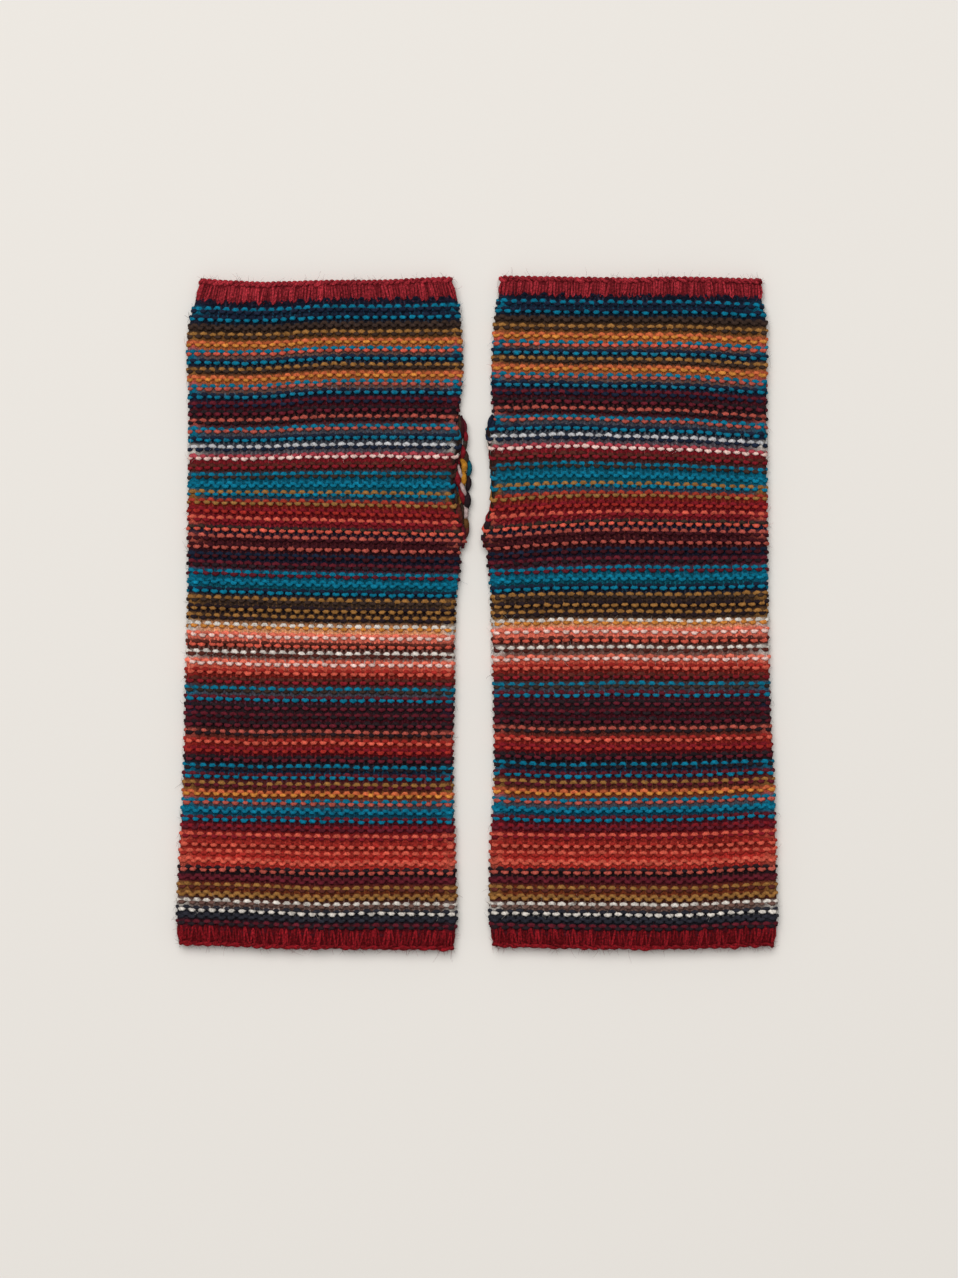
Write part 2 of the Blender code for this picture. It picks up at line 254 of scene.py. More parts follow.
left = {
    "name": "left",
    "side": -1,
    "column": 1,  # of the course heights
    "outline": leftOutline,
    "dip": leftDip,
    "stitches": leftStitches,
    "slitReach": leftReach,
    "floats": leftFloats,
    "fingerLegs": (2.6, 8.7),  # how far down the ribs' knit legs start and end
    "wristLegs": (232.8, 239.2),
    "fingerEnd": 2.0,  # how far down the ribs' edge yarns lie
    "wristEnd": 239.3,
    "seed": 3,
}
right = {
    "name": "right",
    "side": 1,
    "column": 2,
    "outline": rightOutline,
    "dip": rightDip,
    "stitches": rightStitches,
    "slitReach": rightReach,
    "floats": rightFloats,
    "fingerLegs": (1.7, 7.1),
    "wristLegs": (232.8, 239.2),
    "fingerEnd": 1.15,
    "wristEnd": 239.3,
    "seed": 8,
}

# The stripes, one yarn to a course from the finger rib to the wrist rib, the same on both mittens
stripes = """
    navy teal navy umber mustard coral teal navy mustard coral teal navy
    plum black dullCoral teal navy white wine brown teal teal mustard red
    wine coral navy dullCoral darkWine navy plum teal teal navy mustard black
    mustard white salmon brown white salmon red brown teal plum navy plum
    black dullCoral red wine black teal plum mustard coral teal teal plum
    wine coral red coral coral black plum mustard brown white charcoal charcoal
    plum
""".split()
# Heads and sinkers in a tone of their own, where two wools are felted together
headYarns = {
    5: "orange", 9: "orange", 17: "silver", 18: "rose", 23: "brick", 26: "umber", 46: "black",
    56: "orange", 68: "mustard",
}  # fmt: skip
sinkerYarns = {
    2: "umber", 4: "amber", 7: "umber", 8: "amber", 9: "dullCoral", 17: "blush", 19: "umber",
    26: "darkWine", 29: "black", 33: "umber", 36: "amber", 37: "blush", 38: "coral", 40: "blush",
    41: "coral", 42: "wine", 43: "umber", 46: "black", 49: "coral", 51: "plum", 55: "amber",
    56: "dullCoral", 64: "dullCoral", 65: "plum", 66: "brown", 68: "taupe", 71: "black",
}  # fmt: skip
# What shows between a course's heads and the next ones, where that isn't its own wool in painted shade:
# a dark tone of the wool of the courses next to it matted in, with painted shade
shadedMatYarns = {
    1: "navy", 4: "olive", 5: "tawny", 6: "taupe", 8: "umber", 9: "tawny", 10: "taupe", 14: "darkWine",
    15: "slate", 17: "slate", 18: "wine", 21: "darkTeal", 22: "deepTeal", 25: "wine", 27: "darkWine",
    32: "darkTeal", 34: "umber", 36: "umber", 37: "copper", 38: "salmon", 40: "taupe", 41: "coral",
    44: "slate", 46: "black", 49: "brown", 53: "navy", 55: "brown", 56: "rust", 57: "slate",
    58: "deepTeal", 61: "red", 63: "scarlet", 64: "scarlet", 67: "rust", 69: "taupe",
}  # fmt: skip

yarns = {  # each yarn's colour as red, green and blue up to 255
    "teal": (12, 110, 138),
    "deepTeal": (14, 66, 86),
    "mustard": (147, 103, 54),
    "orange": (194, 98, 60),
    "coral": (200, 87, 69),
    "dullCoral": (170, 80, 68),
    "salmon": (230, 116, 94),
    "rose": (168, 66, 76),
    "amber": (196, 126, 56),
    "tawny": (174, 94, 50),
    "rust": (118, 54, 31),
    "brick": (158, 56, 42),
    "scarlet": (184, 50, 43),
    "charcoal": (42, 42, 50),
    "copper": (222, 154, 106),
    "blush": (224, 190, 180),
    "taupe": (106, 78, 70),
    "slate": (74, 72, 80),
    "silver": (186, 186, 188),
    "white": (208, 201, 192),
    "gold": (184, 124, 40),
    "palePink": (182, 160, 156),
    "darkTeal": (16, 84, 100),
    "wine": (124, 28, 36),
    "plum": (93, 29, 39),
    "darkWine": (62, 22, 28),
    "red": (152, 42, 36),
    "brown": (86, 41, 34),
    "umber": (60, 45, 38),
    "olive": (98, 66, 36),
    "navy": (28, 36, 54),
    "black": (41, 30, 34),
    # the ribs' reds: the wrist rib's is darker than the finger rib's
    "fingerRed": (146, 40, 48),
    "wristRed": (122, 21, 28),
}


def linear(colour):  # screen values up to 255 as the shader's linear ones
    return np.array(
        [c / 255 / 12.92 if c < 10.3 else ((c / 255 + 0.055) / 1.055) ** 2.4 for c in colour]
    )


def readTable(table, column, place):  # a smooth curve through one column of a table
    rows = np.array(table, float)
    places, values = rows[:, 0], rows[:, column]
    slopes = np.gradient(values, places)
    i = np.clip(np.searchsorted(places, place) - 1, 0, len(places) - 2)
    step = places[i + 1] - places[i]
    t = np.clip((place - places[i]) / step, 0, 1)
    start = (1 + 2 * t) * (1 - t) ** 2 * values[i] + t * (1 - t) ** 2 * step * slopes[i]
    end = t * t * (3 - 2 * t) * values[i + 1] + t * t * (t - 1) * step * slopes[i + 1]
    return start + end


def ease(share):
    share = np.clip(share, 0, 1)
    return share * share * (3 - 2 * share)


def sewnShare(down):  # 1 where the selvedges meet and 0 along the open slit
    opened = ease((down - pair["slitStart"]) / pair["slitEase"])
    closed = ease((down - (pair["slitEnd"] - pair["slitEase"])) / pair["slitEase"])
    return 1 - opened + closed


def dipAt(mitten, offset, down):  # offset is from the mitten's centre line, to the photo's right
    stations = np.array(dipStations)
    values = np.array([readTable(mitten["dip"], i + 1, down) for i in range(len(stations))])
    slopes = np.gradient(values, stations, axis=0)
    i = np.clip(np.searchsorted(stations, offset) - 1, 0, len(stations) - 2)
    each = np.arange(len(offset))
    step = stations[i + 1] - stations[i]
    t = np.clip((offset - stations[i]) / step, -0.25, 1.25)
    start = (1 + 2 * t) * (1 - t) ** 2 * values[i, each] + t * (1 - t) ** 2 * step * slopes[i, each]
    end = t * t * (3 - 2 * t) * values[i + 1, each] + t * t * (t - 1) * step * slopes[i + 1, each]
    return start + end


def leafPath(mitten, back, share, down, lift):  # points of a leaf's cloth in the pair's frame
    outline = mitten["outline"]
    fold = readTable(outline, 1, down) + cloth["foldSpread"]
    thumb = readTable(outline, 3 if back else 2, down) + cloth["thumbSpread"]
    sewn = sewnShare(down)
    bend, radius = pair["bend"], pair["bend"] - cloth["depth"]
    arc = math.pi / 2 * radius
    flat = fold + thumb - 2 * bend
    reach = cloth["backReach"] if back else readTable(mitten["slitReach"], 1, down)
    openFlat = fold - bend + thumb + reach

    along = share * (flat + 2 * arc)
    turn = np.minimum(along, arc) / radius
    turned = np.maximum(along - arc - flat, 0) / radius
    onFlat = np.clip(along - arc, 0, flat)
    across = fold - bend + (radius + lift) * np.cos(turn) * (along < arc) - onFlat
    across -= (radius + lift) * np.sin(turned)
    up = bend + (radius + lift) * np.where(along < arc, np.sin(turn), np.cos(turned))

    openAlong = share * (openFlat + arc)
    openTurn = np.minimum(openAlong, arc) / radius
    openAcross = fold - bend + (radius + lift) * np.cos(openTurn) * (openAlong < arc)
    openAcross -= np.maximum(openAlong - arc, 0)
    openUp = bend + (radius + lift) * np.where(openAlong < arc, np.sin(openTurn), 1)

    across = sewn * across + (1 - sewn) * openAcross
    up = sewn * up + (1 - sewn) * openUp
    if back:
        up = pair["thickness"] - up
    else:
        middle = np.clip((across + thumb) / (fold + thumb), 0, 1)
        up = up + pair["crown"] * np.sin(math.pi * middle) ** 2
    x = mitten["side"] * (pair["centreLine"] + across) + pair["shift"]
    y = pair["fingerEndY"] - down - dipAt(mitten, mitten["side"] * across, down)
    return np.stack((x, y, up), axis=-1)


def outwards(mitten, back, share, down, lift):  # points with the cloth's outward directions
    points = leafPath(mitten, back, share, down, lift)
    above = leafPath(mitten, back, share, down, lift + cloth["probe"])
    normals = above - points
    return points, normals / np.linalg.norm(normals, axis=1, keepdims=True)


def courseMiddle(mitten, course):  # how far down a course's middle lies, and half its height
    above, here, below = readTable(
        courseHeights, mitten["column"], np.array([course - 1.0, course, course + 1.0])
    )
    half = stitch["height"] * (below - above) / 2
    return here + half, half


def courseStrand(mitten, back, course, ends, segments, random):
    # one course's yarn as loops along a leaf, between two shares of its width
    middle, high = courseMiddle(mitten, course)
    count = float(readTable(mitten["stitches"], 1, np.array([middle]))[0])
    first, last = (end * count for end in ends)
    steps = max(2, round((last - first) * segments))
    place = np.linspace(first, last, steps + 1)
    n = place - count / 2 if not back else -place - count / 2
    shift = stitch["dense"] / (4 * math.pi) * np.sin(4 * math.pi * n)
    place, n = (place + shift if back else place - shift), n - shift
    half = 2 * n - math.floor(2 * min(n[0], n[-1]))
    keys = np.arange(int(half.max()) + 3)

    def vary(amount):  # one random value for each head and each sinker
        return np.interp(half, keys, random.normal(0, amount * stitch["uneven"], len(keys)))

    turn = 2 * math.pi * n
    lean = stitch["lean"] * np.sin(2 * turn)
    share = (place + (-lean if back else lean)) / count + vary(stitch["unevenShare"]) / count
    down = middle - high * np.cos(turn) + vary(stitch["unevenDown"])
    lift = stitch["depth"] * np.cos(2 * turn) + vary(stitch["unevenLift"])
    swell = 1 + stitch["swell"] * np.cos(2 * turn) + vary(stitch["unevenRadius"])
    hidden = np.zeros(len(turn))
    if course == 0:
        hidden = np.maximum(np.cos(turn), 0)
    if course == len(stripes) - 1:
        hidden = np.maximum(-np.cos(turn), 0)
    lift = lift - stitch["tuck"] * hidden
    points, normals = outwards(mitten, back, share, down, lift)
    fromEdge = np.minimum(place, count - place)
    nearEdge = 1 - ease((fromEdge - stitch["edgeStitches"]) / stitch["edgeFade"])
    return {
        "points": points,
        "normals": normals,
        "radius": stitch["radius"] * swell,
        "shade": (1 + vary(stitch["unevenShade"])) * (1 - stitch["tuckShade"] * hidden),
        "colour": courseColours(course, np.cos(turn), nearEdge),
    }


def courseColours(course, level, nearEdge):
    # level is 1 at a head, 0 halfway down a leg and -1 at a sinker
    order = ["fingerRed", *stripes, "wristRed"]
    above, own, below = (linear(yarns[yarn]) for yarn in order[course : course + 3])
    head = linear(yarns[headYarns.get(course, stripes[course])])
    sinker = linear(yarns[sinkerYarns.get(course, stripes[course])])
    legs = ((1 - stitch["matting"]) * own + stitch["matting"] * (above + below) / 2) * stitch["legShade"]
    # these legs take their listed dark tone, matted wool of the neighbouring courses with painted shade
    if course in shadedMatYarns:
        legs = linear(yarns[shadedMatYarns[course]])
    legs = legs + (stitch["edgeShade"] * own - legs) * nearEdge[:, None]
    bright = ease((np.abs(level) - stitch["faceStart"]) / stitch["faceFade"])[:, None]
    face = np.where(level[:, None] > 0, head, sinker)
    return bright * face + (1 - bright) * legs


panel = {
    "courses": len(stripes),
    "frontSegments": 10,
    "frontSides": 6,
    "backSegments": 6,
    "backSides": 4,
    "overlap": 0.03,  # how far the front's courses run past the fold and the seam
}

rib = {
    "crowd": 1.7,  # stitches for each one of the panel
    "column": 3.1,  # stitches to a knit column and the purl one beside it
    "segments": 8,
    "base": 0.0,
    "relief": 0.16,  # half the height from the purl columns to the knit ones
    "arch": 0.36,
    "radius": 0.46,
    "flatness": 1.0,
    "shade": 1.1,
    "recessShade": 0.7,
    "columnEase": 0.8,  # how sharply the shade changes from column to column
    "unevenShare": 0.2,
    "unevenDown": 0.4,
    "unevenLift": 0.06,
    "unevenRadius": 0.15,
    "unevenShade": 0.25,
    "underside": 0.5,  # how much of the relief is left where a mitten lies on the ground
    "fingerLean": 0.1,
    "wristLean": 0.0,
    "seedStep": 20,  # from a mitten's seed to its ribs' own
}
fingerEdge = {
    "spread": 0.45,
    "lift": 0.1,
    "radius": 0.62,
    "swell": 0.12,
    "twist": 1.6,
    "segments": 10,
    "ripple": 0.18,
}
wristEdge = {
    "spread": 0.34,
    "lift": -0.1,
    "radius": 0.6,
    "swell": 0.12,
    "twist": 1,
    "segments": 6,
    "ripple": 0.15,
}
rippleKeys = 32  # random values along an edge yarn, more than a leaf has stitches


def legStrand(mitten, back, legs, lean, random):  # a rib's tall stitches, its knit columns in relief
    middle, high = (legs[0] + legs[1]) / 2, (legs[1] - legs[0]) / 2
    count = rib["crowd"] * float(readTable(mitten["stitches"], 1, np.array([middle]))[0])
    segments = panel["backSegments"] if back else rib["segments"]
    place = np.linspace(0, count, round(count * segments) + 1)
    keys = np.arange(int(2 * count) + 3)

    def vary(amount):
        return np.interp(2 * place, keys, random.normal(0, amount, len(keys)))

    turn = 2 * math.pi * place
    knit = np.cos(2 * math.pi * place / rib["column"])
    share = (place + lean * np.sin(2 * turn) + vary(rib["unevenShare"])) / count
    down = middle - high * np.cos(turn) + vary(rib["unevenDown"])
    lift = rib["base"] + knit * rib["relief"] - rib["arch"] * np.cos(2 * turn) + vary(rib["unevenLift"])
    if back:
        lift = lift * rib["underside"]
    points, normals = outwards(mitten, back, share, down, lift)
    radius = rib["radius"] * (1 + vary(rib["unevenRadius"]))
    columnShade = rib["recessShade"] + (1 - rib["recessShade"]) * ease(0.5 + rib["columnEase"] * knit)
    return {
        "points": points,
        "normals": normals,
        "radius": radius,
        "shade": (rib["shade"] + vary(rib["unevenShade"])) * columnShade,
    }


def edgeStrand(mitten, back, look, middle, phase, random):
    # one of the two yarns that close a rib's edge
    count = float(readTable(mitten["stitches"], 1, np.array([middle]))[0])
    place = np.linspace(0, count, round(count * look["segments"]) + 1)
    turn = math.pi * (look["twist"] * place + phase)
    ripple = np.interp(place, np.arange(rippleKeys), random.normal(0, look["ripple"], rippleKeys))
    down = middle + look["spread"] * np.cos(turn) + ripple
    lift = (look["lift"] + look["spread"] * np.sin(turn)) * (rib["underside"] if back else 1)
    points, normals = outwards(mitten, back, place / count, down, lift)
    swell = 1 + look["swell"] * np.cos(2 * turn) + ripple
    return {"points": points, "normals": normals, "radius": look["radius"] * swell, "shade": 1 + ripple}


carried = {  # the yarns along the slits
    "points": 13,
    "sink": 1.3,  # how far down their ends go
    "endRadius": 0.6,  # of the radius
    "endShade": 0.6,
    "middleShade": 0.28,  # added to the ends' shade
    "sides": 8,
    "flatness": 0.85,
}


def floatStrand(mitten, yarn, height, radius, *places):
    # a yarn carried from course to course at the slit
    start, middle, end = (np.array(place) for place in places)
    t = np.linspace(0, 1, carried["points"])[:, None]
    bend = 2 * middle - (start + end) / 2
    path = (1 - t) ** 2 * start + 2 * t * (1 - t) * bend + t * t * end
    bulge = np.sin(math.pi * t[:, 0])
    points = np.stack(
        (
            mitten["side"] * (pair["centreLine"] - path[:, 0]) + pair["shift"],
            pair["fingerEndY"] - path[:, 1],
            height - carried["sink"] * (1 - bulge),
        ),
        axis=-1,
    )
    return {
        "points": points,
        "normals": np.repeat(np.array([[0.0, 0.0, 1.0]]), len(points), axis=0),
        "radius": radius * (carried["endRadius"] + (1 - carried["endRadius"]) * bulge),
        "shade": carried["endShade"] + carried["middleShade"] * bulge,
        "colour": linear(yarns[yarn]),
    }


bakeMap = {"besideBand": 0.04, "besideEnd": 0.002, "cap": 0.001}  # margins in the map for baking
lowest = 0.02  # millimetres above the ground


def tubeMesh(name, strands, sides, flatness):  # closed tubes along strands, joined in one mesh
    bandWidth, bandLength = 1 - 2 * bakeMap["besideBand"], 1 - 2 * bakeMap["besideEnd"]
    corners, quads, caps, colours = [], [], [], []
    wool, bake = [], []
    base = 0
    ring = np.arange(sides)
    around = 2 * math.pi * ring / sides
    for band, strand in enumerate(strands):
        points, normals = strand["points"], strand["normals"]
        count = len(points)
        tangents = np.gradient(points, axis=0)
        tangents /= np.linalg.norm(tangents, axis=1, keepdims=True)
        sideways = np.cross(tangents, normals)
        sideways /= np.linalg.norm(sideways, axis=1, keepdims=True)
        upwards = np.cross(sideways, tangents)
        radius = np.asarray(strand["radius"])[:, None, None] * np.ones((count, 1, 1))
        reach = np.cos(around)[None, :, None] * sideways[:, None, :]
        reach = reach + flatness * np.sin(around)[None, :, None] * upwards[:, None, :]
        corners.append((points[:, None, :] + radius * reach).reshape(-1, 3))
        shade = np.asarray(strand["shade"])[:, None, None] * np.ones((count, sides, 1))
        tints = np.broadcast_to(strand["colour"], (count, 3))[:, None, :]
        colours.append((shade * tints).reshape(-1, 3))
        step = np.arange(count - 1)[:, None]
        here = base + step * sides + ring
        there = base + step * sides + (ring + 1) % sides
        quads.append(np.stack((here, there, there + sides, here + sides), axis=-1).reshape(-1, 4))
        caps.append(base + ring[::-1])
        caps.append(base + (count - 1) * sides + ring)
        length = np.concatenate(((0,), np.cumsum(np.linalg.norm(np.diff(points, axis=0), axis=1))))
        alongs = np.stack((length[:-1], length[:-1], length[1:], length[1:]), axis=-1)
        alongs = np.repeat(alongs[:, None, :], sides, axis=1)
        rounds = np.stack((ring, ring + 1, ring + 1, ring), axis=-1) / sides
        rounds = np.repeat(rounds[None, :, :], count - 1, axis=0)
        wool.append(np.stack((alongs, rounds), axis=-1).reshape(-1, 2))
        inBand = (band + bakeMap["besideBand"] + bandWidth * rounds) / len(strands)
        onBand = bakeMap["besideEnd"] + bandLength * alongs / length[-1]
        bake.append(np.stack((onBand, inBand), axis=-1).reshape(-1, 2))
        base += count * sides
    corners, quads = np.concatenate(corners) * mm, np.concatenate(quads)
    corners[:, 2] = np.maximum(corners[:, 2], lowest * mm)
    caps = np.array(caps)
    loops = np.concatenate((quads.ravel(), caps.ravel()))
    starts = np.concatenate((np.arange(len(quads)) * 4, len(quads) * 4 + np.arange(len(caps)) * sides))
    mesh = bpy.data.meshes.new(name)
    mesh.vertices.add(len(corners))
    mesh.vertices.foreach_set("co", corners.ravel())
    mesh.loops.add(len(loops))
    mesh.loops.foreach_set("vertex_index", loops)
    mesh.polygons.add(len(starts))
    mesh.polygons.foreach_set("loop_start", starts)
    mesh.update(calc_edges=True)
    mesh.validate()
    for layer, values in (("woolMap", wool), ("OFBake", bake)):
        whole = np.zeros((len(loops), 2))
        values = np.concatenate(values)
        whole[: len(values)] = values
        ends = np.repeat(np.arange(len(caps)) // 2, sides)
        if layer == "OFBake":
            whole[len(values) :, 0] = bakeMap["cap"]
            whole[len(values) :, 1] = (ends + 0.5) / len(strands)
        mesh.uv_layers.new(name=layer).data.foreach_set("uv", whole.ravel())
    mesh.uv_layers["woolMap"].active_render = True
    tint = mesh.attributes.new("yarnColour", "FLOAT_VECTOR", "POINT")
    tint.data.foreach_set("vector", np.concatenate(colours).ravel())
    mesh.shade_smooth()
    piece = bpy.data.objects.new(name, mesh)
    bpy.context.scene.collection.objects.link(piece)
    return piece


class Wire:  # one output of a material's nodes, which Python's operators work on
    def __init__(self, tree, socket=None):
        self.tree, self.socket = tree, socket

    def node(self, kind, settings, sockets, output=0):
        made = self.tree.nodes.new(kind)
        for name, value in settings.items():
            if name == "stops":
                self.setStops(made.color_ramp, value)
            else:
                setattr(made, name, value)
        for name, value in sockets.items():
            if isinstance(value, Wire):
                self.tree.links.new(value.socket, made.inputs[name])
            else:
                made.inputs[name].default_value = value
        return Wire(self.tree, made.outputs[output])

    def setStops(self, ramp, stops):
        while len(ramp.elements) < len(stops):
            ramp.elements.new(1.0)
        for element, (place, colour) in zip(ramp.elements, stops):
            element.position, element.color = place, colour

    def maths(self, operation, first, second):
        return self.node("ShaderNodeMath", {"operation": operation}, {0: first, 1: second})

    def __add__(self, other):
        return self.maths("ADD", self, other)

    def __radd__(self, other):
        return self.maths("ADD", other, self)

    def __sub__(self, other):
        return self.maths("SUBTRACT", self, other)

    def __rsub__(self, other):
        return self.maths("SUBTRACT", other, self)

    def __mul__(self, other):
        return self.maths("MULTIPLY", self, other)

    def __rmul__(self, other):
        return self.maths("MULTIPLY", other, self)


def startMaterial(name):
    material = bpy.data.materials.new(name)
    material.use_nodes = True
    tree = material.node_tree
    shader = tree.nodes["Principled BSDF"]
    return material, Wire(tree), shader


def plug(wire, shader, name):
    wire.tree.links.new(wire.socket, shader.inputs[name])


def noise(wire, vector, scale, detail, roughness):
    return wire.node(
        "ShaderNodeTexNoise",
        {"noise_dimensions": "3D"},
        {"Vector": vector, "Scale": scale, "Detail": detail, "Roughness": roughness},
    )


def plugYarnColour(wire, shader, tone):  # the yarns' own colours, made lighter or darker by a tone
    colour = wire.node("ShaderNodeAttribute", {"attribute_name": "yarnColour"}, {}, "Color")
    grey = wire.node("ShaderNodeCombineColor", {}, {0: tone, 1: tone, 2: tone})
    settings = {"data_type": "RGBA", "blend_type": "MULTIPLY"}
    plug(wire.node("ShaderNodeMix", settings, {0: 1.0, 6: colour, 7: grey}, 2), shader, "Base Color")


def plugBump(wire, shader, height):  # height is in millimetres
    bump = wire.node("ShaderNodeBump", {}, {"Strength": 1.0, "Distance": mm, "Height": height})
    plug(bump, shader, "Normal")


speckleScale = 1500.0  # specks to a metre, for the fluff on the wool

woolLook = {
    "plies": 2,  # strands twisted together in the yarn
    "twist": 3.2,  # millimetres for a full turn
    "plyShade": 0.16,
    "heather": 0.85,  # how much single fibres differ in tone
    "speckle": 0.8,  # how much the fluff differs, for each part of that
    "streakAlong": 0.9,  # how short the fibres are along the yarn
    "streakAround": 2.2,
    "streakScale": 2.6,
    "plyBump": 0.10,  # millimetres
    "fibreBump": 0.14,
    "roughness": 0.92,
    "roughnessSpread": 0.16,
    "sheen": 0.015,
    "sheenRoughness": 0.5,
    "specular": 0.04,
}
ribLook = {**woolLook, "heather": 1.8}  # the ribs' wool is the most mottled


def woolMaterial(name, look):
    material, wool, shader = startMaterial(name)
    chart = wool.node("ShaderNodeUVMap", {"uv_map": "woolMap"}, {})
    along = wool.node("ShaderNodeSeparateXYZ", {}, {0: chart}, 0)
    around = wool.node("ShaderNodeSeparateXYZ", {}, {0: chart}, 1)
    twisted = around * look["plies"] + along * (look["plies"] / look["twist"])
    wave = wool.maths("SINE", twisted * (2 * math.pi), 0.0)
    ply = wave * 0.5 + 0.5
    ends, sides = along * look["streakAlong"], twisted * look["streakAround"]
    streak = wool.node("ShaderNodeCombineXYZ", {}, {0: ends, 1: sides, 2: 0.0})
    fibres = noise(wool, streak, look["streakScale"], 3.0, 0.65)
    place = wool.node("ShaderNodeTexCoord", {}, {}, "Object")
    speckle = noise(wool, place, speckleScale, 2.0, 0.7)
    tone = 1 - look["plyShade"] * 0.5 + ply * look["plyShade"]
    tone = tone + (fibres - 0.5) * (look["heather"] * 2)
    tone = tone + (speckle - 0.5) * (look["heather"] * 2 * look["speckle"])
    plugYarnColour(wool, shader, tone)
    height = ply * look["plyBump"] + fibres * look["fibreBump"] + speckle * look["fibreBump"]
    plugBump(wool, shader, height)
    spread = look["roughnessSpread"]
    plug(look["roughness"] - spread / 2 + fibres * spread, shader, "Roughness")
    shader.inputs["Sheen Weight"].default_value = look["sheen"]
    shader.inputs["Sheen Roughness"].default_value = look["sheenRoughness"]
    shader.inputs["Specular IOR Level"].default_value = look["specular"]
    return material


feltLook = {"mottle": 1.5, "bump": 0.6, "roughness": 0.95, "specular": 0.05}


def feltMaterial(name, look):  # the matted wool between the loops, whose yarnColour holds its stripes' colours in painted shade
    material, felt, shader = startMaterial(name)
    place = felt.node("ShaderNodeTexCoord", {}, {}, "Object")
    matted = noise(felt, place, speckleScale, 3.0, 0.75)
    plugYarnColour(felt, shader, 1 + (matted - 0.5) * (look["mottle"] * 2))
    plugBump(felt, shader, matted * look["bump"])
    shader.inputs["Roughness"].default_value = look["roughness"]
    shader.inputs["Specular IOR Level"].default_value = look["specular"]
    return material


room = {
    "ground": (231, 227, 221),
    "groundSize": 8,  # metres
    "groundRoughness": 0.9,
    "groundSpecular": 0.1,
    "ambient": 0.36,
    "ambientColour": (1.0, 0.995, 0.99),
    "keyPower": 149.0,
    "keySize": 3.4,
    "keyPlace": (-0.6, 1.6, 3.75),
    "keyColour": (1.0, 0.992, 0.984),
}

photo = {
    "pixel": 0.357,  # millimetres
    "centre": (0.71, -9.1),  # the middle of the photo in the pair's frame
    "height": 1278,
    "distance": 1500.0,
    "sensor": 36,
}


def aim(thing, target):
    direction = np.array(target) - np.array(thing.location)
    flat = math.hypot(direction[0], direction[1])
    thing.rotation_euler = (
        math.atan2(flat, -direction[2]),
        0,
        math.atan2(direction[1], direction[0]) - math.pi / 2 if flat > 1e-6 else 0,
    )


def makeRoom():
    scene = bpy.context.scene
    scene.view_settings.view_transform = "Standard"
    bpy.ops.object.camera_add(
        location=(photo["centre"][0] * mm, photo["centre"][1] * mm, photo["distance"] * mm)
    )
    camera = bpy.context.object
    camera.rotation_euler = (0, 0, 0)
    camera.data.sensor_width = photo["sensor"]
    seen = photo["height"] * photo["pixel"]  # of the plane that the mittens' tops lie in
    camera.data.lens = photo["sensor"] * (photo["distance"] - pair["thickness"]) / seen
    scene.camera = camera

    bpy.ops.object.light_add(type="AREA", location=room["keyPlace"])
    key = bpy.context.object
    key.data.size = room["keySize"]
    key.data.energy = room["keyPower"]
    key.data.color = room["keyColour"]
    aim(key, (0, 0, 0))

    world = scene.world or bpy.data.worlds.new("room")
    scene.world = world
    world.use_nodes = True
    sky = world.node_tree.nodes["Background"]
    sky.inputs["Color"].default_value = (*room["ambientColour"], 1)
    sky.inputs["Strength"].default_value = room["ambient"]

    bpy.ops.mesh.primitive_plane_add(size=room["groundSize"])
    floor = bpy.context.object
    floor.name = "floor"
    material, _, shader = startMaterial("paleGround")
    shader.inputs["Base Color"].default_value = (*linear(room["ground"]), 1)
    shader.inputs["Roughness"].default_value = room["groundRoughness"]
    shader.inputs["Specular IOR Level"].default_value = room["groundSpecular"]
    floor.data.materials.append(material)


shell = {
    "rows": 180,
    "columns": 40,
    "lift": -0.42,
    "ribLift": -0.12,
    "ribFade": 0.8,  # over how much of its length it changes at a rib
    "wall": 0.4,
    "start": 2.0,
    "end": 239.0,
    # painted shade: the cloth between the loops is its course's colour times this
    "shade": 0.5,
    "matShade": 0.9,
    "ribShade": 0.5,
    "edgeShade": 0.8,  # at the fold and the thumb side, where the loops lie open
    "edgeLift": 0.1,
    "foldShare": 0.035,  # of a leaf's width, that belongs to the fold
    "thumbShare": 0.94,  # where the thumb side starts
    "turnFade": 0.03,
    "slitShare": 0.97,  # where the strip of umber wool in painted shade along the open slit starts
    "slitFade": 0.015,
    "rowFade": 0.25,  # of a course, where one stripe gives way to the next
}


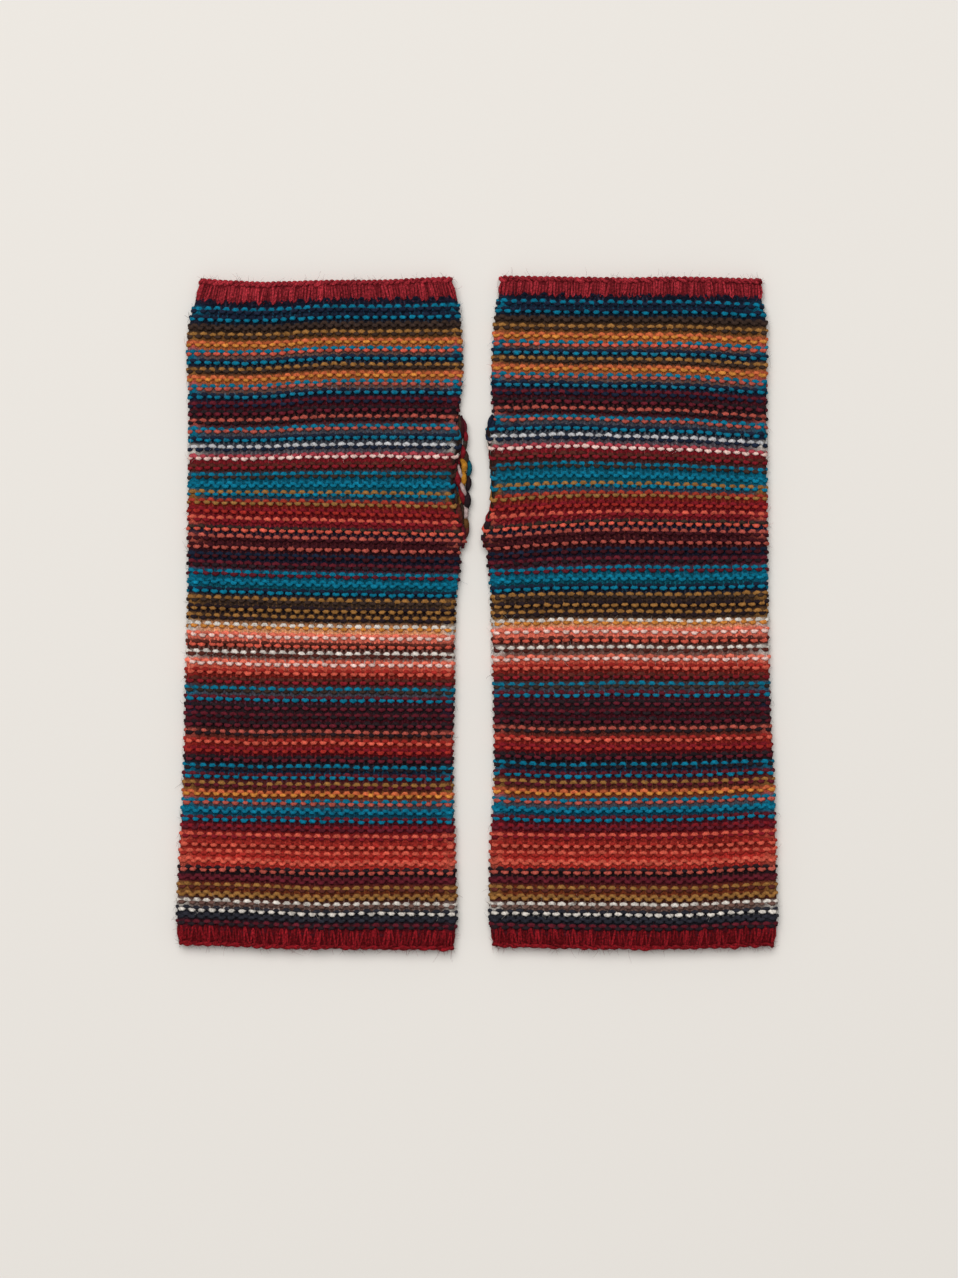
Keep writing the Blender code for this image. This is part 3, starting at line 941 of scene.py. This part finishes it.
def makeShell(mitten):  # the matted cloth between the loops, in its stripes' colours darkened as painted shade
    rows, columns = shell["rows"], shell["columns"]
    bpy.ops.mesh.primitive_grid_add(x_subdivisions=columns, y_subdivisions=rows, size=2)
    piece = bpy.context.object
    piece.name = "cloth_" + mitten["name"]
    data = piece.data
    places = np.zeros(len(data.vertices) * 3)
    data.vertices.foreach_get("co", places)
    places = places.reshape(-1, 3)
    share = places[:, 0]  # from -1 at the back leaf's thumb side, round the fold, to 1
    down = shell["start"] + (places[:, 1] + 1) / 2 * (shell["end"] - shell["start"])
    share = np.sign(share) * (1 - np.cos(math.pi * share)) / 2  # narrow cells at the fold and thumb side
    atFinger = ease((mitten["fingerLegs"][1] - down) / shell["ribFade"])
    atWrist = ease((down - mitten["wristLegs"][0] - shell["ribFade"]) / shell["ribFade"])
    ribbed = atFinger + atWrist
    atFold = 1 - ease((np.abs(share) - shell["foldShare"]) / shell["turnFade"])
    atThumb = ease((np.abs(share) - shell["thumbShare"]) / shell["turnFade"])
    turned = np.maximum(atFold, atThumb)
    lift = shell["lift"] + (shell["ribLift"] - shell["lift"]) * ribbed
    lift = lift + (shell["edgeLift"] - lift) * turned * (1 - ribbed)
    front = leafPath(mitten, False, np.abs(share), down, lift)
    rear = leafPath(mitten, True, np.abs(share), down, lift)
    points = np.where((share >= 0)[:, None], front, rear) * mm
    data.vertices.foreach_set("co", points.ravel())
    order = ["fingerRed", *stripes, "wristRed"]
    heads = readTable(courseHeights, mitten["column"], np.arange(-1.0, len(stripes) + 1))
    course = np.clip(np.interp(down, heads, np.arange(len(heads))), 0, len(order) - 1)
    tones = np.array([linear(yarns[yarn]) for yarn in order])
    # the colours between the loops with painted shade: each course's own wool darkened, or its listed
    # dark tone
    shadedMats = tones * shell["shade"]
    for i, yarn in shadedMatYarns.items():
        shadedMats[i + 1] = linear(yarns[yarn]) * shell["matShade"]
    before = np.floor(course).astype(int)
    after = np.minimum(before + 1, len(order) - 1)
    blend = ease((course - before - 1 + shell["rowFade"]) / shell["rowFade"])[:, None]
    bright = ((1 - blend) * tones[before] + blend * tones[after]) * shell["edgeShade"]
    dark = (1 - blend) * shadedMats[before] + blend * shadedMats[after]
    tint = dark + (bright - dark) * turned[:, None]
    # along the open slit the cloth takes umber wool in painted shade
    atSlit = ease((share - shell["slitShare"]) / shell["slitFade"]) * (1 - sewnShare(down))
    tint = tint + (linear(yarns["umber"]) * shell["shade"] - tint) * atSlit[:, None]
    inRib = np.where((down < pair["slitEnd"])[:, None], tones[0], tones[-1]) * shell["ribShade"]
    tones = tint + (inRib - tint) * ribbed[:, None]
    tint = data.attributes.new("yarnColour", "FLOAT_VECTOR", "POINT")
    tint.data.foreach_set("vector", tones.ravel())
    data.update()
    wall = piece.modifiers.new("wall", "SOLIDIFY")
    wall.thickness = shell["wall"] * mm
    wall.offset = 0
    bpy.ops.object.modifier_apply(modifier="wall")
    bpy.ops.object.mode_set(mode="EDIT")
    bpy.ops.mesh.select_all(action="SELECT")
    bpy.ops.mesh.normals_make_consistent(inside=False)
    bpy.ops.object.mode_set(mode="OBJECT")
    bpy.ops.object.shade_smooth()
    return piece


def dress(piece, material):
    piece.data.materials.append(material)
    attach(piece, "root")
    return piece


def makePanel(mitten, material):
    random = np.random.default_rng(mitten["seed"])
    half = panel["courses"] // 2 + 1
    pieces = []
    front, back = [], []
    for course in range(len(stripes)):
        sewn = float(sewnShare(courseMiddle(mitten, course)[0]))
        over = panel["overlap"]
        top = courseStrand(
            mitten, False, course, (-over, 1 + over * sewn), panel["frontSegments"], random
        )
        under = courseStrand(
            mitten, True, course, (over, 1 - over * sewn), panel["backSegments"], random
        )
        front.append(top)
        back.append(under)
    name = mitten["name"]
    for label, rows, sides in (
        ("upper", front[:half], panel["frontSides"]),
        ("lower", front[half:], panel["frontSides"]),
        ("under", back, panel["backSides"]),
    ):
        piece = tubeMesh(f"courses_{label}_{name}", rows, sides, stitch["flatness"])
        pieces.append(dress(piece, material))
    piece = makeFuzz("fuzz_" + name, front, stripes, fuzz["count"], random)
    pieces.append(dress(piece, material))
    return pieces


def makeRib(mitten, end, material):
    random = np.random.default_rng(mitten["seed"] + rib["seedStep"])
    look = fingerEdge if end == "finger" else wristEdge
    middle = mitten[end + "End"]
    red = end + "Red"
    strands = []
    for back in (False, True):
        strands.append(legStrand(mitten, back, mitten[end + "Legs"], rib[end + "Lean"], random))
        strands += [edgeStrand(mitten, back, look, middle, phase, random) for phase in (0, 1)]
    for strand in strands:
        strand["colour"] = linear(yarns[red])
    front = strands[: len(strands) // 2]
    piece = tubeMesh(f"{end}_rows_{mitten['name']}", strands, panel["frontSides"], rib["flatness"])
    label = f"{end}_fuzz_{mitten['name']}"
    loose = makeFuzz(label, front, [red] * len(front), fuzz["ribCount"], random)
    return [dress(piece, material), dress(loose, material)]


def makeFloats(mitten, material):
    strands = [floatStrand(mitten, *row) for row in mitten["floats"]]
    piece = tubeMesh("slit_yarns_" + mitten["name"], strands, carried["sides"], carried["flatness"])
    return dress(piece, material)


fuzz = {  # stray fibres on each front leaf
    "count": 2550,
    "ribCount": 400,  # on each rib
    "length": 2.1,
    "unevenLength": 0.4,
    "longest": 1.5,  # times that length
    "radius": 0.042,
    "taper": (1, 0.9, 0.75, 0.5),  # of the radius, at each point of a fibre
    "sides": 3,
    "root": 0.45,  # how far out from the middle of its yarn a fibre starts
    "unevenTurn": 0.9,
    "rise": 0.28,
    "droop": 0.8,  # how much of the rise is lost again at the tip
    "curl": 1.1,
    "heights": (0.2, 8.0),  # lowest and highest above the ground
    "shades": (0.9, 1.4),
    "edgeShare": 0.12,  # of them that stand out from the fold and the thumb side
    "foldShare": 0.6,  # of those, at the fold
    "foldRings": 14,  # how far in from the fold they start, in rings of a tube
    "thumbRings": 10,
    "paleShare": 3.5,  # the white wool sheds more than the others
}


def makeFuzz(name, courses, order, count, random):  # loose fibres that curl off the yarns
    size = len(fuzz["taper"])
    strands = []
    weights = np.array([fuzz["paleShare"] if yarn == "white" else 1.0 for yarn in order])
    picks = random.choice(len(courses), count, p=weights / weights.sum())
    for pick in picks:
        course = courses[pick]
        points, normals = course["points"], course["normals"]
        last = len(points) - 2
        if random.random() >= fuzz["edgeShare"]:
            i = int(random.integers(1, last))
        elif random.random() < fuzz["foldShare"]:
            i = int(random.integers(1, fuzz["foldRings"]))
        else:
            i = int(last - random.integers(0, fuzz["thumbRings"]))
        up = normals[i]
        along = points[i + 1] - points[i - 1]
        along /= np.linalg.norm(along)
        across = np.cross(up, along)
        turn = random.normal(0, fuzz["unevenTurn"])
        ahead = along * math.cos(turn) + across * math.sin(turn)
        if random.random() < 0.5:
            ahead = -ahead
        aside = np.cross(up, ahead)
        length = fuzz["length"] * min(random.lognormal(0, fuzz["unevenLength"]), fuzz["longest"])
        curl = random.normal(0, fuzz["curl"])
        t = np.linspace(0, 1, size)[:, None]
        path = points[i] + up * fuzz["root"] + ahead * t * length
        path = path + aside * curl * t * t * length * 0.5
        path = path + up * length * fuzz["rise"] * (t - fuzz["droop"] * t * t)
        path[:, 2] = np.clip(path[:, 2], *fuzz["heights"])
        strands.append(
            {
                "points": path,
                "normals": np.repeat(up[None, :], size, axis=0),
                "radius": fuzz["radius"] * np.array(fuzz["taper"]),
                "shade": np.full(size, random.uniform(*fuzz["shades"])),
                "colour": linear(yarns[order[pick]]),
            }
        )
    return tubeMesh(name, strands, fuzz["sides"], 1.0)


makeRoom()
print("room, camera and light are ready")

wool = woolMaterial("stripedWool", woolLook)
ribWool = woolMaterial("ribWool", ribLook)
felt = feltMaterial("shadedMattedWool", feltLook)
for mitten in (left, right):
    name = mitten["name"]
    knitted = makePanel(mitten, wool)
    knitted += makeRib(mitten, "finger", ribWool)
    knitted += makeRib(mitten, "wrist", ribWool)
    knitted.append(makeFloats(mitten, wool))
    base = makeShell(mitten)
    dress(base, felt)
    triangles = [sum(len(p.vertices) - 2 for p in piece.data.polygons) for piece in (base, *knitted)]
    print("triangles of", name, sum(triangles), triangles)
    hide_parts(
        f"panel_{name}",
        f"finger_rib_{name}",
        f"wrist_rib_{name}",
        f"slit_edge_front_{name}",
        f"slit_edge_back_{name}",
    )
    print("mitten", name, "is knitted")
